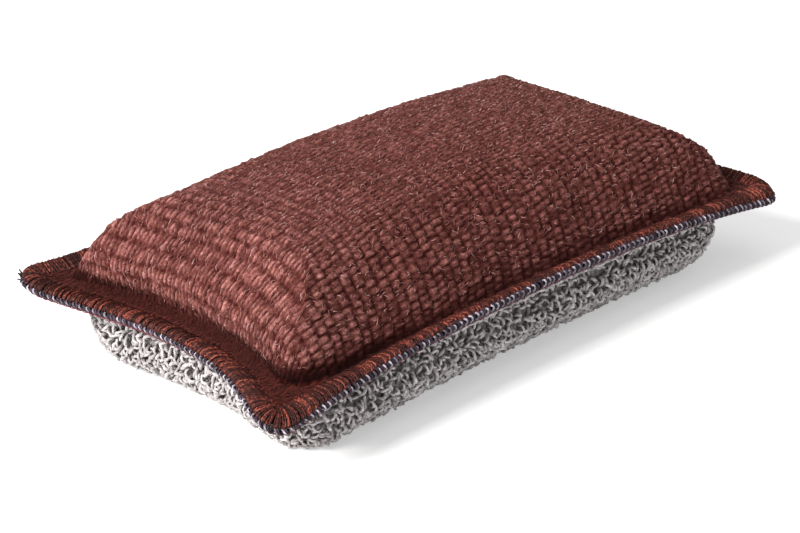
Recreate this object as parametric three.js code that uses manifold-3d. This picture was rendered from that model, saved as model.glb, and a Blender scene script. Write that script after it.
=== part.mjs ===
// A hand-size wax applicator pad: a foam block inside two cloths, a ribbed knit on top and
// a looped pile underneath, sewn together round their edges by a three-thread overlock seam.
// Millimetres, +Z up. The pad lies on its pile at z = 0, its long side runs along X, and the
// origin is the middle of the surface that it lies on.

import * as THREE from 'three';
import { mergeVertices } from 'three/addons/utils/BufferGeometryUtils.js';
import Module from 'manifold-3d';

// Plan of the cloths' edges, measured between its square corners. The ears are rounded off
// inside these corners, so that the finished pad is about 6 mm shorter than PLAN_LENGTH.
const PLAN_LENGTH = 148.4;
const PLAN_WIDTH = 73.6;
const END_PULL = 10;
const SIDE_PULL = 1.1;
const PULL_POWER = 2.2;
const EAR_RADIUS = 8;

// Flat margin outside the stuffed part, at the two short ends and along the two long sides
const END_MARGIN = 5.8;
const SIDE_MARGIN = 4.6;
const EAR_MARGIN_POWER = 4;

// Height of the seam line over the surface, and how it waves round the pad
const SEAM_HEIGHT = 14.5;
const END_RISE = 6.2;
const SIDE_RISE = 5.2;
const RISE_POWER = 6;
const EAR_LIFT = { leftBack: 5.8, leftFront: -2, rightFront: -1, rightBack: 2.5 };
const EAR_POWER = 3.5;

// The two cloths: thickness in the seam and over the foam, and the gap between them
const SEAM_CLOTH = 1.1;
const SEAM_GAP = 0.45;

// Stuffed shape of each cover: an upright wall, a rounded shoulder and a crowned middle, and what
// the margin at the short ends gains towards each ear, where the stuffing stops short of it
const TOP = {
  side: 1, cloth: 1.5, wall: 3.4, shoulder: 12.1, corner: 12.3, depth: 13.5, crown: 8.2,
  endOverhang: 2.4, sideOverhang: 0, leanX: -0.024, leanY: -0.038,
  earMargin: { leftBack: 0, leftFront: 6.5, rightFront: 0, rightBack: 0 },
};
const BOTTOM = {
  side: -1, cloth: 3, wall: 1.9, shoulder: 9.8, corner: 19.3, depth: 13.4, crown: 0.5,
  endOverhang: 0.6, sideOverhang: 2.1, leanX: 0, leanY: 0,
  earMargin: { leftBack: 0, leftFront: 0, rightFront: 0, rightBack: 0 },
};
const CORNER_POWER = 2.6;

// Relief of the cloths
const RIB_PITCH = 2.6;
const RIB_DEPTH = 0.7;
const KNUCKLE_DEPTH = 0.25;
const TUFT_PITCH = 6.6;
const TUFT_DEPTH = 1.3;
const RELIEF_RUN = 2;
const PRESSED_RUN = 1.5;

// Foam block, short of the covers' inner faces on every side
const FOAM_CLEARANCE = 0.5;

// Overlock seam
const STITCH_WIDTH = 3;
const THREAD_GAP = 0.35;
const EDGE_GAP = 0.55;
const LOOPER_PITCH = 5.5;
const LOOPER_HEIGHT = 0.75;
const LOOPER_WAIST = 0.4;
const BEAD_REACH = 1.3;
const BEAD_WAIST = 0.9;
const BEAD_HALF_HEIGHT = 0.9;
const NEEDLE_THREAD = 0.4;

// Fineness of the smooth surfaces
const COARSE_STEP = 12;
const FORM_STEPS_X = 160;
const FORM_STEPS_Y = 120;
const FOAM_SIDES = 48;

const HALF_LENGTH = PLAN_LENGTH / 2;
const HALF_WIDTH = PLAN_WIDTH / 2;
const FLANGE_FACE = SEAM_GAP / 2 + SEAM_CLOTH;

const clamp = THREE.MathUtils.clamp;

// The value for the ear on whose side of the middle a place lies
function byEar(values, x, y) {
  const left = y > 0 ? values.leftBack : values.leftFront;
  const right = y > 0 ? values.rightBack : values.rightFront;
  return x < 0 ? left : right;
}

// Height of the seam line's middle plane over the surface, at a place in plan
function seamHeight(x, y) {
  const a = Math.min(Math.abs(x) / HALF_LENGTH, 1);
  const b = Math.min(Math.abs(y) / HALF_WIDTH, 1);
  const ear = byEar(EAR_LIFT, x, y) * (a * b) ** EAR_POWER;
  const ends = END_RISE * a ** RISE_POWER * (1 - b * b);
  const sides = SIDE_RISE * b ** RISE_POWER * (1 - a * a);
  return SEAM_HEIGHT + ear + ends + sides;
}

// Half length of the seam's plan at a fraction q of its width, and half width at a fraction p
// of its length: each side is a curve pulled in by the stuffing between its two ears
const halfLengthAt = (q) => HALF_LENGTH - END_PULL * (1 - Math.abs(q) ** PULL_POWER);
const halfWidthAt = (p) => HALF_WIDTH - SIDE_PULL * (1 - p * p);

// Width of a cover's flat margin at a short end: it grows towards an ear
const endMarginAt = (cover, p, q) => (
  END_MARGIN + byEar(cover.earMargin, p, q) * Math.abs(q) ** EAR_MARGIN_POWER);

// Rounds the four corners of the square that the fractions p and q span: a corner square of
// side EAR_RADIUS is mapped onto a quarter disc, ring by ring
function roundedEar(p, q) {
  const s = Math.abs(p) * HALF_LENGTH - (HALF_LENGTH - EAR_RADIUS);
  const t = Math.abs(q) * HALF_WIDTH - (HALF_WIDTH - EAR_RADIUS);
  if (s <= 0 || t <= 0) return [p, q];
  const shrink = Math.max(s, t) / Math.hypot(s, t);
  return [
    Math.sign(p) * (HALF_LENGTH - EAR_RADIUS + s * shrink) / HALF_LENGTH,
    Math.sign(q) * (HALF_WIDTH - EAR_RADIUS + t * shrink) / HALF_WIDTH,
  ];
}

// Share of the cover's depth reached at a distance along the cloth from the margin's inner line
function climb(distance, cover) {
  const angle = clamp((distance - cover.wall) / cover.shoulder, 0, Math.PI / 2);
  const height = distance < cover.wall ? distance : cover.wall + cover.shoulder * Math.sin(angle);
  return Math.max(height, 0) / (cover.wall + cover.shoulder);
}

// Distance in from a rounded rectangle's outline, from the distances to its two nearest sides
function distanceIn(fromEnd, fromSide, cover) {
  const s = Math.max(cover.corner - fromEnd, 0);
  const t = Math.max(cover.corner - fromSide, 0);
  if (s === 0 && t === 0) return Math.min(fromEnd, fromSide);
  return cover.corner - (s ** CORNER_POWER + t ** CORNER_POWER) ** (1 / CORNER_POWER);
}

// A cover as a stuffed cloth. Its flat cut is a rectangle that is longer than the seam's plan
// by what its climb uses up. p and q run from -1 to 1 over that cut. The cloth keeps its length:
// where it climbs by dh over a step of ds, the step in plan is the root of ds² - dh².
function stuffedForm(cover) {
  const spare = cover.wall + (Math.PI / 2 - 1) * cover.shoulder;
  const halfX = HALF_LENGTH - END_PULL + spare;
  const halfY = HALF_WIDTH - SIDE_PULL + spare;

  const reach = (p, q) => {
    const fromEnd = Math.max(halfX * (1 - Math.abs(p)) - endMarginAt(cover, p, q), 0);
    const fromSide = Math.max(halfY * (1 - Math.abs(q)) - SIDE_MARGIN, 0);
    return { fromEnd, fromSide, inside: distanceIn(fromEnd, fromSide, cover) };
  };
  const rise = (p, q) => cover.depth * climb(reach(p, q).inside, cover);

  // Plan distances from the middle to both edges, summed outwards along the cloth, with -1 and 1
  // at the edges
  const planShare = (steps, halfCut, height) => {
    const outwards = (sign) => {
      const sums = [0];
      for (let i = 0; i < steps; i += 1) {
        const climbed = height(sign * (i + 1) / steps) - height(sign * i / steps);
        const slope = climbed * steps / halfCut;
        sums.push(sums[i] + Math.sqrt(Math.max(1 - slope * slope, 0)));
      }
      return sums.map((sum) => sign * sum / sums[steps]);
    };
    return [...outwards(-1).reverse(), ...outwards(1).slice(1)];
  };
  const whole = (steps) => Array.from({ length: 2 * steps + 1 }, (_, i) => i / steps - 1);
  const columns = whole(FORM_STEPS_Y).map((q) => planShare(FORM_STEPS_X, halfX, (p) => rise(p, q)));
  const rows = whole(FORM_STEPS_X).map((p) => planShare(FORM_STEPS_Y, halfY, (q) => rise(p, q)));

  // Value in a table of plan shares between its four nearest entries, for a and b from -1 to 1
  const between = (table, a, b) => {
    const fa = (a + 1) / 2 * (table.length - 1);
    const fb = (b + 1) / 2 * (table[0].length - 1);
    const i = Math.min(Math.floor(fa), table.length - 2);
    const j = Math.min(Math.floor(fb), table[0].length - 2);
    const near = table[i][j] * (1 - fb + j) + table[i][j + 1] * (fb - j);
    const far = table[i + 1][j] * (1 - fb + j) + table[i + 1][j + 1] * (fb - j);
    return near * (1 - fa + i) + far * (fa - i);
  };

  // A point of the cloth's outer face. The bulge leans out over the margin as a sine squared.
  const at = (p, q) => {
    const x = between(columns, q, p) * halfLengthAt(q);
    const y = between(rows, p, q) * halfWidthAt(p);
    const { fromEnd, fromSide, inside } = reach(p, q);
    const share = climb(inside, cover);
    const bulge = cover.wall + 0.8 * cover.shoulder;
    const outX = Math.sin(Math.PI * Math.min(fromEnd / bulge, 1)) ** 2 * climb(fromSide, cover);
    const outY = Math.sin(Math.PI * Math.min(fromSide / bulge, 1)) ** 2 * climb(fromEnd, cover);
    const crown = cover.crown * share * (1 - p * p) * (1 - q * q);
    const lean = (cover.leanX * x + cover.leanY * y) * share;
    return new THREE.Vector3(
      x + Math.sign(p) * cover.endOverhang * outX,
      y + Math.sign(q) * cover.sideOverhang * outY,
      seamHeight(x, y) + cover.side * (FLANGE_FACE + cover.depth * share + crown) + lean,
    );
  };

  // The same point moved into the cloth: straight down or up in the margin, and square to the
  // face over the foam
  const gripped = (p, q) => clamp(reach(p, q).inside / RELIEF_RUN, 0, 1);
  const inward = (p, q, depth) => {
    const d = 1e-3;
    const p0 = clamp(p, -1 + d, 1 - d);
    const q0 = clamp(q, -1 + d, 1 - d);
    const alongX = at(p0 + d, q0).sub(at(p0 - d, q0));
    const alongY = at(p0, q0 + d).sub(at(p0, q0 - d));
    const normal = alongX.cross(alongY).normalize();
    const way = new THREE.Vector3(0, 0, 1).lerp(normal, gripped(p, q)).normalize();
    return at(p, q).addScaledVector(way, -cover.side * depth);
  };
  return { cover, halfX, halfY, gripped, at, inward };
}

// Distances from a cloth's edge to its middle: the margin, then steps of about one size
function stops(halfCut, margin, step) {
  const count = Math.max(Math.round((halfCut - margin) / step), 2);
  const inner = Array.from({ length: count + 1 }, (_, i) => margin + (halfCut - margin) * i / count);
  return [0, margin / 2, ...inner];
}

// The same for a smooth face: one stop at the margin's end and closer ones on the shoulder
function smoothStops(halfCut, margin, cover) {
  const top = margin + cover.wall + cover.shoulder * Math.PI / 2;
  const bend = [0, 1 / 3, 2 / 3].map((share) => (
    margin + cover.wall + cover.shoulder * share * Math.PI / 2));
  bend.unshift(margin);
  const count = Math.max(Math.round((halfCut - top) / COARSE_STEP), 1);
  const inner = Array.from({ length: count + 1 }, (_, i) => top + (halfCut - top) * i / count);
  return [0, ...bend, ...inner];
}

// Fractions from -1 to 1 out of the distances for one half
function bothHalves(distances, halfCut) {
  const share = distances.map((distance) => 1 - distance / halfCut);
  return [...share.map((value) => -value), ...share.slice(0, -1).reverse()];
}

// A sheet of points over the fractions ps and qs
function sheet(ps, qs, point) {
  return { ps, qs, points: ps.map((p, i) => qs.map((q, j) => point(p, q, i, j))) };
}

// Joins an outer and an inner sheet into one closed solid. Each face's diagonals run between
// the points of odd i + j, so that the even ones stand up as separate knuckles or tufts.
function closedShell(outer, inner) {
  const positions = [];
  const index = [];
  const store = ({ points }) => points.map((row) => row.map((point) => {
    positions.push(point.x, point.y, point.z);
    return positions.length / 3 - 1;
  }));
  const face = (ids, turned) => {
    for (let i = 0; i + 1 < ids.length; i += 1) {
      for (let j = 0; j + 1 < ids[0].length; j += 1) {
        const [a, b, c, d] = [ids[i][j], ids[i + 1][j], ids[i + 1][j + 1], ids[i][j + 1]];
        const pair = (i + j) % 2 === 0 ? [[a, b, d], [b, c, d]] : [[a, b, c], [a, c, d]];
        pair.forEach(([k, l, m]) => index.push(...(turned ? [k, m, l] : [k, l, m])));
      }
    }
  };
  const outerIds = store(outer);
  const innerIds = store(inner);
  face(outerIds, false);
  face(innerIds, true);

  // One side of each sheet's border, as pairs of a fraction along it and a point
  const border = ({ ps, qs }, ids) => [
    ps.map((p, i) => [p, ids[i][0]]),
    qs.map((q, j) => [q, ids.at(-1)[j]]),
    ps.map((p, i) => [-p, ids[i].at(-1)]).reverse(),
    qs.map((q, j) => [-q, ids[0][j]]).reverse(),
  ];
  const innerBorder = border(inner, innerIds);
  border(outer, outerIds).forEach((fine, side) => {
    const coarse = innerBorder[side];
    let i = 0;
    let j = 0;
    while (i + 1 < fine.length || j + 1 < coarse.length) {
      const fineNext = i + 1 < fine.length ? fine[i + 1][0] : Infinity;
      const coarseNext = j + 1 < coarse.length ? coarse[j + 1][0] : Infinity;
      if (fineNext <= coarseNext) {
        index.push(fine[i][1], coarse[j][1], fine[i + 1][1]);
        i += 1;
      } else {
        index.push(fine[i][1], coarse[j][1], coarse[j + 1][1]);
        j += 1;
      }
    }
  });
  return meshData(positions, index);
}

function meshData(positions, index) {
  const geometry = new THREE.BufferGeometry();
  geometry.setAttribute('position', new THREE.Float32BufferAttribute(positions, 3));
  geometry.setIndex(index);
  return geometry;
}

// Turns the faces of a solid round
function turnedInsideOut(geometry) {
  const ids = [...geometry.index.array];
  for (let i = 0; i < ids.length; i += 3) [ids[i + 1], ids[i + 2]] = [ids[i + 2], ids[i + 1]];
  geometry.setIndex(ids);
  return geometry;
}

// Solids for cutting one shape with another, and back
const wasm = await Module();
wasm.setup();
const asSolid = (geometry) => new wasm.Manifold(new wasm.Mesh({
  numProp: 3,
  vertProperties: new Float32Array(geometry.attributes.position.array),
  triVerts: new Uint32Array(geometry.index.array),
}));
const asGeometry = (solid) => {
  const { vertProperties, triVerts } = solid.getMesh();
  return meshData(vertProperties, [...triVerts]);
};

const topForm = stuffedForm(TOP);
const bottomForm = stuffedForm(BOTTOM);

// Thickness of a cover, from the flat margin to its full value over the foam
function clothAt(form, p, q) {
  return SEAM_CLOTH + (form.cover.cloth - SEAM_CLOTH) * form.gripped(p, q);
}

// A smooth sheet inside a cover, at a depth below its outer face that may vary. It has one more
// stop where the cloth gets its full thickness.
function innerSheet(form, depth) {
  const fractions = (halfCut, margin) => {
    const [edge, foot, ...others] = smoothStops(halfCut, margin, form.cover);
    return bothHalves([edge, foot, margin + RELIEF_RUN, ...others], halfCut);
  };
  const ps = fractions(form.halfX, END_MARGIN);
  const qs = fractions(form.halfY, SIDE_MARGIN);
  return sheet(ps, qs, (p0, q0) => {
    const [p, q] = roundedEar(p0, q0);
    return form.inward(p, q, depth(p, q));
  });
}

// A cover: an outer face with its relief and a smooth inner face
function coverSolid(form, psOuter, qsOuter, relief) {
  const outer = sheet(psOuter, qsOuter, (p0, q0, i, j) => {
    const [p, q] = roundedEar(p0, q0);
    return form.inward(p, q, form.gripped(p, q) * relief(form.at(p, q), i, j));
  });
  const shell = closedShell(outer, innerSheet(form, (p, q) => clothAt(form, p, q)));
  return form.cover.side > 0 ? shell : turnedInsideOut(shell);
}

// Top cover: ribs run across the pad, and the knuckles of one rib lie between its neighbour's
function topCover() {
  const ps = bothHalves(stops(topForm.halfX, END_MARGIN, RIB_PITCH / 2), topForm.halfX);
  const across = [0, SIDE_MARGIN / 2, ...smoothStops(topForm.halfY, SIDE_MARGIN, TOP).slice(1)];
  const qs = bothHalves(across, topForm.halfY);
  return coverSolid(topForm, ps, qs, (point, i, j) => {
    if (i % 2 === 0) return RIB_DEPTH;
    return (j + (i - 1) / 2) % 2 === 0 ? 0 : KNUCKLE_DEPTH;
  });
}

// Bottom cover: tufts of the looped pile, pressed flat where the pad lies on them
function bottomCover() {
  const ps = bothHalves(stops(bottomForm.halfX, END_MARGIN, TUFT_PITCH / 2), bottomForm.halfX);
  const qs = bothHalves(stops(bottomForm.halfY, SIDE_MARGIN, TUFT_PITCH / 2), bottomForm.halfY);
  const pile = coverSolid(bottomForm, ps, qs, (point, i, j) => (
    (i + j) % 2 === 0 ? 0 : TUFT_DEPTH * clamp(point.z / PRESSED_RUN, 0, 1)));
  const under = new THREE.BoxGeometry(2 * PLAN_LENGTH, 2 * PLAN_WIDTH, SEAM_HEIGHT);
  under.translate(0, 0, -SEAM_HEIGHT / 2);
  return asGeometry(asSolid(pile).subtract(asSolid(welded(under))));
}

// The same solid with its doubled corner points made one
function welded(geometry) {
  geometry.deleteAttribute('normal');
  geometry.deleteAttribute('uv');
  return mergeVertices(geometry);
}

// Points on the border of the square that p and q span, once round
function squareBorder(steps) {
  const corners = [[-1, -1], [1, -1], [1, 1], [-1, 1]];
  return corners.flatMap(([p0, q0], side) => {
    const [p1, q1] = corners[(side + 1) % 4];
    return Array.from({ length: steps }, (_, i) => (
      [p0 + (p1 - p0) * i / steps, q0 + (q1 - q0) * i / steps]));
  });
}

// Place in plan where a cover's wall starts, for a point on the square's border: the corner
// squares of the flat cut are mapped onto the cover's rounded corners
function wallFoot(form, p, q) {
  const spanY = form.halfY - SIDE_MARGIN;
  let y = Math.abs(q) * spanY;
  const spanX = form.halfX - endMarginAt(form.cover, p, Math.sign(q) * y / form.halfY);
  let x = Math.abs(p) * spanX;
  const s = x - spanX + form.cover.corner;
  const t = y - spanY + form.cover.corner;
  if (s > 0 && t > 0) {
    const shrink = Math.max(s, t) / (s ** CORNER_POWER + t ** CORNER_POWER) ** (1 / CORNER_POWER);
    x += s * (shrink - 1);
    y += t * (shrink - 1);
  }
  return form.at(Math.sign(p) * x / form.halfX, Math.sign(q) * y / form.halfY);
}

// Foam block: it fills the covers short of their inner faces, and its upright sides stand
// inside the line where both covers' walls start
function foamCore() {
  const thin = (form, p, q) => THREE.MathUtils.lerp(
    FLANGE_FACE - SEAM_GAP / 4,
    form.cover.cloth + FOAM_CLEARANCE,
    form.gripped(p, q),
  );
  const upper = innerSheet(topForm, (p, q) => thin(topForm, p, q));
  const lower = innerSheet(bottomForm, (p, q) => thin(bottomForm, p, q));
  const filling = closedShell(upper, lower);

  const foot = new THREE.CatmullRomCurve3(squareBorder(30).map(([p, q]) => {
    const [a, b] = [wallFoot(topForm, p, q), wallFoot(bottomForm, p, q)];
    const x = Math.sign(p) * Math.min(Math.abs(a.x), Math.abs(b.x));
    return new THREE.Vector3(x, Math.sign(q) * Math.min(Math.abs(a.y), Math.abs(b.y)), 0);
  }), true);
  const inset = Math.max(TOP.cloth, BOTTOM.cloth) + FOAM_CLEARANCE;
  const outline = Array.from({ length: FOAM_SIDES }, (_, i) => {
    const point = foot.getPointAt(i / FOAM_SIDES);
    const along = foot.getTangentAt(i / FOAM_SIDES);
    return new THREE.Vector2(point.x - along.y * inset, point.y + along.x * inset);
  });
  const tall = 2 * (SEAM_HEIGHT + TOP.depth + TOP.crown);
  const sides = new THREE.ExtrudeGeometry(new THREE.Shape(outline), {
    depth: tall, bevelEnabled: false,
  });
  return asGeometry(asSolid(filling).intersect(asSolid(welded(sides))));
}

// The seam's outer edge in plan, as one closed curve
function seamCurve() {
  const points = squareBorder(60).map(([p0, q0]) => {
    const [p, q] = roundedEar(p0, q0);
    return new THREE.Vector3(p * halfLengthAt(q), q * halfWidthAt(p), 0);
  });
  return new THREE.CatmullRomCurve3(points, true, 'centripetal');
}

// A thread that runs right round the seam. section(i) lists [inset from the edge, height over
// the seam's middle plane] round its section at stop i, clockwise with the inset to the right.
function seamRing(count, section) {
  const curve = seamCurve();
  const positions = [];
  const index = [];
  let size = 0;
  for (let i = 0; i < count; i += 1) {
    const edge = curve.getPointAt(i / count);
    const along = curve.getTangentAt(i / count);
    const profile = section(i);
    size = profile.length;
    profile.forEach(([inset, height]) => {
      const x = edge.x - along.y * inset;
      const y = edge.y + along.x * inset;
      positions.push(x, y, seamHeight(x, y) + height);
    });
  }
  for (let i = 0; i < count; i += 1) {
    for (let k = 0; k < size; k += 1) {
      const a = i * size + k;
      const b = i * size + (k + 1) % size;
      const c = ((i + 1) % count) * size + (k + 1) % size;
      const d = ((i + 1) % count) * size + k;
      index.push(a, c, b, a, d, c);
    }
  }
  return meshData(positions, index);
}

const stitchStops = () => 2 * Math.round(seamCurve().getLength() / LOOPER_PITCH);
const threadFoot = FLANGE_FACE + THREAD_GAP;

// Upper looper thread: slanting strands side by side over the top cloth's margin
function upperLooperThread() {
  return seamRing(stitchStops(), (i) => {
    const high = threadFoot + (i % 2 === 0 ? LOOPER_HEIGHT : LOOPER_WAIST);
    const low = threadFoot + (i % 2 === 0 ? LOOPER_WAIST : LOOPER_HEIGHT);
    return [[0, threadFoot], [0, high], [STITCH_WIDTH, low], [STITCH_WIDTH, threadFoot]];
  });
}

// Lower looper thread: a twisted bead along the cut edges and strands under the bottom cloth
function lowerLooperThread() {
  return seamRing(stitchStops(), (i) => {
    const reach = i % 2 === 0 ? BEAD_REACH : BEAD_WAIST;
    const under = threadFoot + (i % 2 === 0 ? LOOPER_WAIST : LOOPER_HEIGHT);
    return [
      [-EDGE_GAP, BEAD_HALF_HEIGHT],
      [-EDGE_GAP, -threadFoot],
      [STITCH_WIDTH, -threadFoot],
      [-EDGE_GAP, -under],
      [-reach, (BEAD_HALF_HEIGHT - under) / 2],
    ];
  });
}

// Needle thread: a fine line of stitches along the inner ends of the looper strands
function needleThread() {
  const inset = STITCH_WIDTH + THREAD_GAP + NEEDLE_THREAD / 2;
  const half = NEEDLE_THREAD / 2;
  return seamRing(stitchStops(), () => [
    [inset - half, threadFoot],
    [inset, threadFoot + NEEDLE_THREAD],
    [inset + half, threadFoot],
  ]);
}

function named(name, geometry, colour, roughness) {
  geometry.computeVertexNormals();
  const material = new THREE.MeshStandardMaterial({ color: colour, roughness, metalness: 0 });
  const mesh = new THREE.Mesh(geometry, material);
  mesh.name = name;
  return mesh;
}

const group = new THREE.Group();
group.add(
  named('top_cover', topCover(), 0x7d4a43, 0.95),
  named('bottom_cover', bottomCover(), 0x8d8885, 0.95),
  named('foam_core', foamCore(), 0xe6dcc4, 0.9),
  named('needle_thread', needleThread(), 0x5a2f38, 0.8),
  named('upper_looper_thread', upperLooperThread(), 0x8a3b2a, 0.8),
  named('lower_looper_thread', lowerLooperThread(), 0x6b4a5e, 0.8),
);

export default group;
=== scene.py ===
# %% [markdown]
# # A stuffed applicator pad: ribbed knit on top, looped pile underneath
#
# The real pad is two pieces of cloth sewn together round their edges over a block of foam.
# This lesson builds what one sees of it: the knuckles of the knit, the loops of the pile and
# the threads of the overlock seam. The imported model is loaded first, because it says how big
# the pad is and where it lies. Nothing in it is moved.

import math

import bpy
import numpy as np
from mathutils import Matrix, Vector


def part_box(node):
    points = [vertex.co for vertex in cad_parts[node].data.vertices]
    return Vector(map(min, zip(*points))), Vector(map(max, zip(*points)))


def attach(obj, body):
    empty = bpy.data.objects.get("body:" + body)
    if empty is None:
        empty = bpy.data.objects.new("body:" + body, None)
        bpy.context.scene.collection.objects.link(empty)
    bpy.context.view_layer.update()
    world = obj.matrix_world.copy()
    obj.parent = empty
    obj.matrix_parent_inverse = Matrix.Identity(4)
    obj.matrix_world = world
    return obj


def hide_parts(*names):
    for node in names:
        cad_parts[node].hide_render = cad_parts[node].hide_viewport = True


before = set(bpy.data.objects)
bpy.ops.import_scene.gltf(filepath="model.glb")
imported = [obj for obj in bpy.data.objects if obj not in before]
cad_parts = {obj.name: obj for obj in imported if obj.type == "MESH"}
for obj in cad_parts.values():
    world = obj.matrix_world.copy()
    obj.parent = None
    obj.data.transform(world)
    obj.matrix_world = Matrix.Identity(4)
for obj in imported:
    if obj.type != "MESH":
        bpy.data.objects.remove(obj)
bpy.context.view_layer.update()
MM = 0.001
cover_low, cover_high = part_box("top_cover")

# %% [markdown]
# ## The sizes that the shape is worked out from
#
# A sewn pad keeps its shape because cloth keeps its length. So the whole pad follows from a few
# sizes: the plan of the cut edges, how far the stuffing pulls each side in, the flat margin in
# the seam, and for each cover an upright wall, a round shoulder and a crowned middle.
# They are in millimetres here, and each mesh is turned into metres when it is made.

# %% Sizes of the pad in millimetres
HALF_LENGTH = 74.2
HALF_WIDTH = 36.8
END_PULL = 10.0
SIDE_PULL = 1.1
PULL_POWER = 2.2
EAR_RADIUS = 8.0
END_MARGIN = 5.8
SIDE_MARGIN = 4.6
SEAM_HEIGHT = 14.5
END_RISE = 6.2
SIDE_RISE = 5.2
RISE_POWER = 6
EAR_LIFT = {"left_back": 5.8, "left_front": -2.0, "right_front": -1.0, "right_back": 2.5}
EAR_POWER = 3.5
EAR_MARGIN_POWER = 4
CORNER_POWER = 2.6
SEAM_CLOTH = 1.1
SEAM_GAP = 0.45
FLANGE_FACE = SEAM_GAP / 2 + SEAM_CLOTH
RELIEF_RUN = 2.0
BULGE_SHARE = 0.8
NO_EARS = dict.fromkeys(EAR_LIFT, 0.0)
TOP = dict(side=1, wall=3.4, shoulder=12.1, corner=12.3, depth=13.5, crown=8.2,
           over_end=2.4, over_side=0.0, lean_x=-0.024, lean_y=-0.038,
           ear_margin={**NO_EARS, "left_front": 6.5})
BOTTOM = dict(side=-1, wall=1.9, shoulder=9.8, corner=19.3, depth=13.4, crown=0.5,
              over_end=0.6, over_side=2.1, lean_x=0.0, lean_y=0.0, ear_margin=NO_EARS)
rng = np.random.default_rng(7)
print("packed cover is", round((cover_high[0] - cover_low[0]) / MM, 1), "mm long")

# %% [markdown]
# ## The surface of a stuffed cover
#
# A cover could be sculpted, or pulled out of a plane by a simulation. Here it is a function of
# two numbers p and q, from -1 to 1 over the flat cut, so that the ribs of the knit can follow
# the threads of the cloth. Where the cloth climbs by dh over a length ds, it covers only
# sqrt(ds² - dh²) of the plan: adding these steps up is what pulls the sides in.

# %% The seam line and the covers as functions
def by_ear(values, x, y):
    """The value for the ear on whose side of the middle a place lies."""
    left = np.where(y > 0, values["left_back"], values["left_front"])
    right = np.where(y > 0, values["right_back"], values["right_front"])
    return np.where(x < 0, left, right)


def seam_height(x, y):
    """Height of the seam's middle plane: a base, plus a rise along each side, plus each ear's lift."""
    a = np.clip(np.abs(x) / HALF_LENGTH, 0, 1)
    b = np.clip(np.abs(y) / HALF_WIDTH, 0, 1)
    ear = by_ear(EAR_LIFT, x, y) * (a * b) ** EAR_POWER
    ends = END_RISE * a**RISE_POWER * (1 - b * b)
    sides = SIDE_RISE * b**RISE_POWER * (1 - a * a)
    return SEAM_HEIGHT + ear + ends + sides


def half_length_at(q):
    """Half length of the cut at a fraction q of its width: less END_PULL times 1 - |q|^power."""
    return HALF_LENGTH - END_PULL * (1 - np.abs(q) ** PULL_POWER)


def half_width_at(p):
    """Half width at a fraction p of the length: less SIDE_PULL times 1 - p²."""
    return HALF_WIDTH - SIDE_PULL * (1 - p * p)


def rounded_ear(p, q):
    """Maps each corner square of side EAR_RADIUS onto a quarter disc, ring by ring."""
    s = np.abs(p) * HALF_LENGTH - (HALF_LENGTH - EAR_RADIUS)
    t = np.abs(q) * HALF_WIDTH - (HALF_WIDTH - EAR_RADIUS)
    inside = (s > 0) & (t > 0)
    shrink = np.maximum(s, t) / np.maximum(np.hypot(s, t), 1e-9)
    p_round = np.sign(p) * (HALF_LENGTH - EAR_RADIUS + s * shrink) / HALF_LENGTH
    q_round = np.sign(q) * (HALF_WIDTH - EAR_RADIUS + t * shrink) / HALF_WIDTH
    return np.where(inside, p_round, p), np.where(inside, q_round, q)


def climb(distance, cover):
    """Share of the depth reached at a distance in: straight up the wall, then a quarter circle."""
    angle = np.clip((distance - cover["wall"]) / cover["shoulder"], 0, np.pi / 2)
    height = np.where(distance < cover["wall"], distance,
                      cover["wall"] + cover["shoulder"] * np.sin(angle))
    return np.maximum(height, 0) / (cover["wall"] + cover["shoulder"])


def distance_in(from_end, from_side, cover):
    """Distance in from a rounded rectangle, from the distances to its two nearest sides."""
    s = np.maximum(cover["corner"] - from_end, 0)
    t = np.maximum(cover["corner"] - from_side, 0)
    rounded = cover["corner"] - (s**CORNER_POWER + t**CORNER_POWER) ** (1 / CORNER_POWER)
    return np.where((s == 0) & (t == 0), np.minimum(from_end, from_side), rounded)


def plan_share(height, per_mm):
    """Distance in plan from the middle row, -1 and 1 at the first and last rows.

    Each step adds sqrt(1 - slope²), summed outwards from the middle along the cloth."""
    step = np.sqrt(np.clip(1 - (np.diff(height, axis=0) * per_mm) ** 2, 0, 1))
    half = len(step) // 2
    outwards = [np.cumsum(part, axis=0) for part in (step[:half][::-1], step[half:])]
    left, right = [run / run[-1:] for run in outwards]
    return np.vstack([-left[::-1], np.zeros((1, height.shape[1])), right])


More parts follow.
